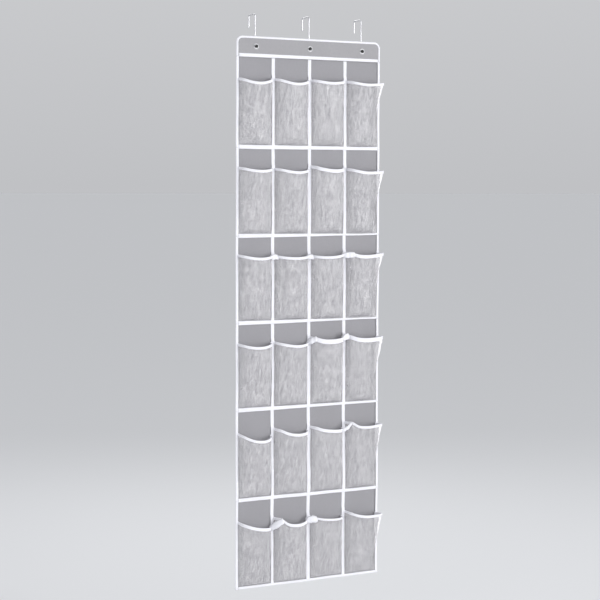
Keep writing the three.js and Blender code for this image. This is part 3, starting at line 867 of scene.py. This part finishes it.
def whiten(pockets, gathered):
    """The film is gathered where the last mouth overhangs the right edge, and so it is whiter there."""
    pockets.data.materials.append(GATHERED_FILM)
    gathered = gathered.ravel()
    index = [int(gathered[polygon.vertices[0] % gathered.size]) for polygon in pockets.data.polygons]
    pockets.data.polygons.foreach_set("material_index", index)


MOUTH_H = 8.0
MOUTH_CREST = 0.65  # from the film's edge up to the top of its binding
MOUTH_STITCH = 2.2  # from the binding's lower edge up to its stitches
STRAP_SECTION = [  # outwards, and up as a share of the strap's height
    (1.0, -1), (1.4, -0.5), (1.1, -0.1), (0, 0.08), (-1.1, -0.1), (-1.3, -0.5), (-1.0, -1),
]


def mirrored(points):
    """The same (outwards, up) pairs on the other side, in the opposite order."""
    return [(-out, up) for out, up in reversed(points)]


def mouth_section(height):
    """A tape folded over the film's edge, as (outwards, up) pairs from that edge."""
    foot = MOUTH_CREST - height
    outer = [
        (0.85, foot), (0.95, foot + 0.8), (0.78, foot + MOUTH_STITCH), (0.95, foot + 3.6),
        (0.95, -0.6), (0.6, 0.4),
    ]
    inner = [(0.4, 0.1), (0.4, foot)]
    return [*outer, (0, MOUTH_CREST), *mirrored(outer), *mirrored(inner), *inner]


def mouth_binding(mouths):
    """The binding round a row's mouths, the loose folds in it, and its stitches."""
    edge = hang(mouths.points(1, 1))
    along = unit(np.gradient(edge, axis=0) * (1, 1, 0))
    out = np.stack([along[:, 1], -along[:, 0], np.zeros(len(along))], -1)
    rings = []
    for point, outward, wide in zip(edge, out, mouths.wide):
        section = np.array(mouth_section(MOUTH_H * wide))
        rings.append(point + outward * section[:, :1] + UP * section[:, 1:])
    shells = [loft(np.stack(rings))]
    stitch_height = MOUTH_CREST - MOUTH_H * mouths.wide + MOUTH_STITCH
    stitch_line = edge + out * 0.85 + UP * stitch_height[:, None]
    for fold in FOLDS.get(mouths.row, []):
        shells.append(loose_fold(mouths, *fold))
    return shells, stitches(stitch_line, out)


def loose_fold(mouths, column, left, right, rise, tall):
    """A gather of the binding that lies across a column tape from one pocket's mouth to the next."""
    turn = np.linspace(0, np.pi, 25)
    share, arch = (1 - np.cos(turn)) / 2, np.sin(turn)
    ends = seam_x(column) + np.array([-left, right])
    depths = np.interp(ends, mouths.flat, mouths.depth) + FLANGE + 1.5
    tops = corner_z(mouths.row) - np.interp(ends, mouths.flat, mouths.drop)
    crumple = wave_field(STRAP_SEED + 10 * mouths.row + column)
    x = between(ends, share)
    depth = between(depths, share) + (3 + 2 * crumple(x / 6, 0.4)) * arch
    z = between(tops, share) + (rise + 1.5 * crumple(x / 5, 3.4)) * arch
    path = hang(at(x, depth, z))
    along = unit(np.gradient(path, axis=0))
    out = unit(np.cross(along, UP))
    lean = unit(UP - 0.25 * out)
    size = (0.5 + 0.5 * arch**0.6)[:, None]
    return band(path, size * out, size * lean, np.array(STRAP_SECTION) * (1, tall))


# ---- rows ----
def soft(shell):
    points, faces = shell
    return hang(points), faces


def add_panel(row):
    """A row's length of fabric."""
    z = heights(cloth_top(row), cloth_bottom(row) + (1 if row == ROWS else 0))
    half = HALF_W - TAPE_T - EDGE_GAP
    grid = hang(at(np.linspace(-half, half, 70)[None], -SHEET_T / 2, z[:, None]))
    name = f"row_{row}_fabric"
    return mesh_object(name, skin(grid, SHEET_T), GREY_FABRIC, f"row_{row}_panel")


def add_cloth(row):
    """A row's fabric and what is sewn flat onto it: the tapes, the edge bindings and the thread."""
    cloth = f"row_{row}"
    panel = add_panel(row)
    shells, threads = row_tapes(row)
    tapes = tape_object(f"{cloth}_tapes", soft(join(shells)), f"{cloth}_tape_grid")
    edges = []
    for side, word in ((-1, "left"), (1, "right")):
        shell, thread = edge_binding(row, side)
        threads.append(thread)
        edges.append(tape_object(f"{cloth}_binding_{word}", soft(shell), f"{cloth}_edge_{word}"))
    thread = thread_object(f"{cloth}_stitching", soft(join(threads)))
    for piece in (panel, tapes, *edges, thread):
        bend_at_fold(piece)
    return panel


def add_pockets(row, panel):
    """A row's film, the binding round its mouths, and the thread in that."""
    cloth = f"row_{row}"
    shell, crease_and_painted_light, gathered, mouths = film(row)
    pockets = mesh_object(f"{cloth}_film", shell, FILM, f"{cloth}_pocket_film", crease_and_painted_light)
    whiten(pockets, gathered)
    shells, thread = mouth_binding(mouths)
    binding = tape_object(f"{cloth}_mouths", join(shells), f"{cloth}_mouth_binding")
    stitching = thread_object(f"{cloth}_mouth_stitching", thread)
    for piece in (pockets, binding, stitching):
        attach(piece, cloth)


# ---- header ----
def header_half_width(z, inset):
    """Half the header's width at a height, drawn in from its edge."""
    radius = HEADER_CORNER_R - inset
    above = np.clip(z - (HEADER_TOP - inset - radius), 0, radius)
    return HALF_W - inset - radius + np.sqrt(radius**2 - above**2)


def header_sheet(depth, thickness, inset, bottom):
    """One of the header's two sheets, with round upper corners."""
    top = HEADER_TOP - inset
    turn = np.linspace(0, np.pi / 2, 9)
    round_part = top - (HEADER_CORNER_R - inset) * (1 - np.sin(turn))
    z = np.concatenate([np.linspace(bottom, round_part[0], 12)[:-1], round_part])
    half = header_half_width(z, inset)
    x = np.linspace(-1, 1, 90)[None] * half[:, None]
    ripple = 0.12 * RIPPLE(x / 38, z[:, None] / 26)
    return skin(at(x, depth + ripple, z[:, None]), thickness)


def pierce(piece):
    """Cuts the eyelets' holes through a header piece."""
    for x in hook_xs().values():
        bpy.ops.mesh.primitive_cylinder_add(
            vertices=EYELET_SIDES,
            radius=FABRIC_HOLE_R * MM,
            depth=20 * MM,
            location=(x * MM, FRONT_Y * MM, EYELET_Z * MM),
            rotation=(np.pi / 2, 0, 0),
        )
        cutter = bpy.context.object
        cut = piece.modifiers.new("eyelet", "BOOLEAN")
        cut.object = cutter
        cut.operation = "DIFFERENCE"
        cut.solver = "EXACT"
        graph = bpy.context.evaluated_depsgraph_get()
        mesh = bpy.data.meshes.new_from_object(piece.evaluated_get(graph), depsgraph=graph)
        piece.modifiers.clear()
        piece.data = mesh
        bpy.data.objects.remove(cutter)


def hook_xs():
    """Where each hook is."""
    return {side: float(np.mean([c[0] for c in box_mm(f"hook_wire_{side}")])) for side in HOOK_SIDES}


def header_rim():
    """The header's edge, up its left side and down its right one, and its inward directions."""
    radius = HEADER_CORNER_R
    rise = np.linspace(cloth_top(1), HEADER_TOP - radius, 14)
    turn = np.linspace(0, np.pi / 2, 14)[1:]
    left = [(-HALF_W, z) for z in rise]
    left += [(-HALF_W + radius * (1 - np.cos(t)), HEADER_TOP - radius * (1 - np.sin(t))) for t in turn]
    top = [(x, HEADER_TOP) for x in np.linspace(-HALF_W + radius, HALF_W - radius, 70)[1:-1]]
    right = [(-x, z) for x, z in reversed(left)]
    line = np.array(left + top + right)
    path = at(line[:, 0], 0, line[:, 1])
    along = unit(np.gradient(path, axis=0))
    return path, np.cross(along, FORWARD)


def add_header():
    bottom = seam_z(0) - TAPE_W / 2
    inset = TAPE_T + EDGE_GAP
    back = mesh_object(
        "header_back_sheet", header_sheet(-SHEET_T / 2, SHEET_T, inset, cloth_top(1)),
        GREY_FABRIC, "header_panel",
    )
    front = mesh_object(
        "header_front_sheet", header_sheet(sum(FACING) / 2, FACING[1] - FACING[0], inset, bottom),
        HEADER_FABRIC, "header_facing",
    )
    for piece in (back, front):
        pierce(piece)

    path, inward = header_rim()
    rim_front = OVER_HEADER + TAPE_T
    rim = band(path, inward, FORWARD, fold_section(rim_front, HEADER_RIM_W))
    binding = tape_object("header_rim_binding", rim, "header_binding")
    seam = at(ACROSS, OVER_HEADER, seam_z(0))
    width = cross_width(0)
    lower = band(seam, UP, FORWARD, TAPE_SECTION, width)
    tape = tape_object("header_lower_tape", lower, "header_seam_tape")
    rim_stitch = path + inward * (HEADER_RIM_W - STITCH_INSET) + FORWARD * (rim_front - 0.15)
    threads = [stitches(rim_stitch, FORWARD), *tape_stitches(seam, UP, width, TAPE_FACE)]
    thread = thread_object("header_stitching", join(threads))
    for piece in (back, front, binding, tape, thread):
        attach(piece, "header")


# ---- hooks and eyelets ----
def arc(before, corner, after, radius, steps):
    """The corner of a path, rounded into an arc."""
    arriving, leaving = unit(corner - before), unit(after - corner)
    turn = np.arccos(np.clip(arriving @ leaving, -1, 1))
    start = corner - arriving * radius * np.tan(turn / 2)
    inward = unit(leaving - arriving * (arriving @ leaving))
    centre = start + inward * radius
    angles = np.linspace(0, turn, steps)[:, None]
    return centre - inward * radius * np.cos(angles) + arriving * radius * np.sin(angles)


def wire_path(x):
    """The hook's centre line, from the foot of its rear leg to the end of its arm."""
    leg = DOOR_GAP / 2 + WIRE_R

    def arm_z(y):
        return EYELET_Z + (PIVOT_Y - y) * np.tan(ARM_SLOPE)

    tip_y = PIVOT_Y - ARM_REACH * np.cos(ARM_SLOPE)
    stops = [(leg, -REAR_LEG), (leg, WIRE_R), (-leg, WIRE_R), (-leg, arm_z(-leg)), (tip_y, arm_z(tip_y))]
    foot, rear, front, heel, tip = (np.array([x, y, z]) for y, z in stops)
    return np.concatenate([
        np.linspace(foot, rear - UP * WIRE_BEND_R, 6)[:-1],
        arc(foot, rear, front, WIRE_BEND_R, 12),
        arc(rear, front, heel, WIRE_BEND_R, 12),
        arc(front, heel, tip, ARM_BEND_R, 12),
        tip[None],
    ])


def wire(x):
    """Round wire with a rounded end at the foot of its rear leg."""
    path = wire_path(x)
    along = unit(np.gradient(path, axis=0))
    across = np.cross(along, RIGHT)
    turn = np.linspace(0, 2 * np.pi, WIRE_SIDES, endpoint=False)
    circle = RIGHT * np.cos(turn)[:, None] * WIRE_R
    rings = path[:, None] + circle[None] + across[:, None] * np.sin(turn)[None, :, None] * WIRE_R
    nose = [
        path[0] + along[0] * WIRE_R * (1 - np.sin(t)) + (rings[0] - path[0]) * max(np.cos(t), 0.03)
        for t in np.linspace(np.pi / 2, 0, 6)
    ]
    return loft(np.concatenate([np.stack(nose), rings[1:]]))


def cap_profile():
    """Half a cap's section, from its neck to its head, as (radius, distance along the arm) pairs."""
    neck = [
        (CAP_R - 0.2, 0), (CAP_R, 0.3), (CAP_R, CAP_NECK_L),
        (CAP_HEAD_R - 0.3, CAP_NECK_L), (CAP_HEAD_R, CAP_NECK_L + 0.15),
    ]
    nose = [
        (CAP_HEAD_R - CAP_NOSE_R * (1 - np.cos(t)), CAP_L - CAP_NOSE_R * (1 - np.sin(t)))
        for t in np.linspace(0, np.pi / 2, 6)
    ]
    inside = [(CAP_VENT_R, CAP_L), (CAP_VENT_R, CAP_SOCKET_L), (CAP_SOCKET_R, CAP_SOCKET_L)]
    return [(CAP_SOCKET_R, 0), *neck, *nose, *inside]


def add_hook(side, x):
    """A hook's wire and the cap on its arm."""
    hook = mesh_object(f"hook_{side}_wire", wire(x), CHROME, f"hook_wire_{side}")
    points, faces = turned(0, cap_profile(), CAP_SIDES)
    points = points - (0, FRONT_Y, EYELET_Z)
    tilt = np.array(Matrix.Rotation(-ARM_SLOPE, 3, "X"))
    points = points @ tilt.T + (x, PIVOT_Y, EYELET_Z)
    cap = mesh_object(f"hook_{side}_cap", (points, faces), VINYL, f"hook_cap_{side}")
    for piece in (hook, cap):
        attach(piece, f"hook_{side}")


WASHER_SECTION = [  # (radius, depth) pairs
    (FABRIC_HOLE_R, BACK + 0.25), (FABRIC_HOLE_R, BACK + TAPE_T), (EYELET_FLANGE_R, BACK + TAPE_T),
    (EYELET_FLANGE_R - 0.15, BACK + 0.5), (EYELET_FLANGE_R - 0.6, BACK + 0.15),
    (EYELET_FLANGE_R - 1.4, BACK),
]


def add_eyelet(side, x):
    """An eyelet's ring with its rolled flange in front, and its washer at the back."""
    turn = np.linspace(0, np.pi, 9)
    mid, half = (EYELET_FLANGE_R + EYELET_R) / 2, (EYELET_FLANGE_R - EYELET_R) / 2
    roll = [(mid + half * np.cos(t), OVER_HEADER + 0.95 * np.sin(t)) for t in turn]
    profile = [(EYELET_R, BACK), (BARREL_R, BACK), (BARREL_R, OVER_HEADER), *roll]
    ring = mesh_object(
        f"eyelet_ring_{side}", turned(x, profile, EYELET_SIDES), NICKEL, f"eyelet_{side}"
    )
    backing = turned(x, WASHER_SECTION, EYELET_SIDES)
    washer = mesh_object(
        f"eyelet_backing_{side}", backing, NICKEL, f"eyelet_washer_{side}"
    )
    for piece in (ring, washer):
        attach(piece, "header")


# ---- camera, light and floor ----
# Metres and watts from here on.
CAMERA_AT = Vector((-2.216, -4.211, -0.501))
CAMERA_AZIMUTH = np.radians(-27.58)
CAMERA_PITCH = np.radians(-2.24)
CAMERA_ROLL = np.radians(0.19)
LENS = 95.15
SHIFT_Y = -0.086
FLOOR_Z = -2.042  # a door's height below its top edge, and a small gap
FLOOR_REACH = 300
LIGHTS = [  # name, place, width and height, power, and what it points at
    ("key", (3.4, -5.6, -0.3), (2.0, 3.2), 252, (0, 0, -0.95)),
    ("fill", (-5.0, -4.8, -1.1), (2.4, 3.4), 132, (0, 0, -1.0)),
    ("rim", (1.2, 2.8, 1.2), (1.5, 1.5), 30, (0, 0, -0.85)),
]


def add_camera():
    """A long lens, from a little left of the front and above the middle of the panel."""
    ahead = Vector((
        -np.sin(CAMERA_AZIMUTH) * np.cos(CAMERA_PITCH),
        np.cos(CAMERA_AZIMUTH) * np.cos(CAMERA_PITCH),
        np.sin(CAMERA_PITCH),
    ))
    right = Vector((np.cos(CAMERA_AZIMUTH), np.sin(CAMERA_AZIMUTH), 0))
    up = right.cross(ahead)
    rolled = right * np.cos(CAMERA_ROLL) + up * np.sin(CAMERA_ROLL)
    lifted = up * np.cos(CAMERA_ROLL) - right * np.sin(CAMERA_ROLL)
    data = bpy.data.cameras.new("camera")
    data.sensor_width = 36
    data.lens = LENS
    data.shift_y = SHIFT_Y
    camera = bpy.data.objects.new("camera", data)
    turned_by = Matrix((rolled, lifted, -ahead)).transposed().to_4x4()
    camera.matrix_world = Matrix.Translation(CAMERA_AT) @ turned_by
    bpy.context.scene.collection.objects.link(camera)
    bpy.context.scene.camera = camera


def add_light(name, place, size, power, target):
    data = bpy.data.lights.new(name, "AREA")
    data.shape = "RECTANGLE"
    data.size, data.size_y = size
    data.energy = power
    light = bpy.data.objects.new(name, data)
    light.location = place
    light.rotation_euler = (Vector(target) - Vector(place)).to_track_quat("-Z", "Y").to_euler()
    bpy.context.scene.collection.objects.link(light)


def add_floor():
    mesh = bpy.data.meshes.new("floor")
    signs = ((-1, -1), (1, -1), (1, 1), (-1, 1))
    corners = [(x * FLOOR_REACH, y * FLOOR_REACH, FLOOR_Z) for x, y in signs]
    mesh.from_pydata(corners, [], [(0, 1, 2, 3)])
    mesh.materials.append(Shader("pale_floor", Base_Color=colour(226, 227, 229), Roughness=0.9).material)
    floor = bpy.data.objects.new("floor", mesh)
    bpy.context.scene.collection.objects.link(floor)


def add_studio():
    """A pale surrounding that is lighter higher up, and three soft lights."""
    world = bpy.data.worlds.new("studio")
    world.use_nodes = True
    tree = world.node_tree
    direction = tree.nodes.new("ShaderNodeTexCoord").outputs["Generated"]
    height = tree.nodes.new("ShaderNodeSeparateXYZ")
    tree.links.new(direction, height.inputs[0])
    ramp = tree.nodes.new("ShaderNodeValToRGB")
    ramp.color_ramp.elements[0].color = colour(192, 193, 196)
    ramp.color_ramp.elements[1].color = colour(216, 217, 219)
    ramp.color_ramp.elements[1].position = 0.35
    tree.links.new(height.outputs["Z"], ramp.inputs[0])
    tree.links.new(ramp.outputs["Color"], tree.nodes["Background"].inputs["Color"])
    bpy.context.scene.world = world
    for light in LIGHTS:
        add_light(*light)
    bpy.context.scene.view_settings.view_transform = "Standard"


add_camera()
add_studio()
add_floor()
for hook_side, hook_x in hook_xs().items():
    add_hook(hook_side, hook_x)
    add_eyelet(hook_side, hook_x)
frame["nodes"]["header_stiffener"].material_slots[0].material = BOARD
add_header()
for row_number in range(1, ROWS + 1):
    add_pockets(row_number, add_cloth(row_number))

bpy.context.view_layer.update()
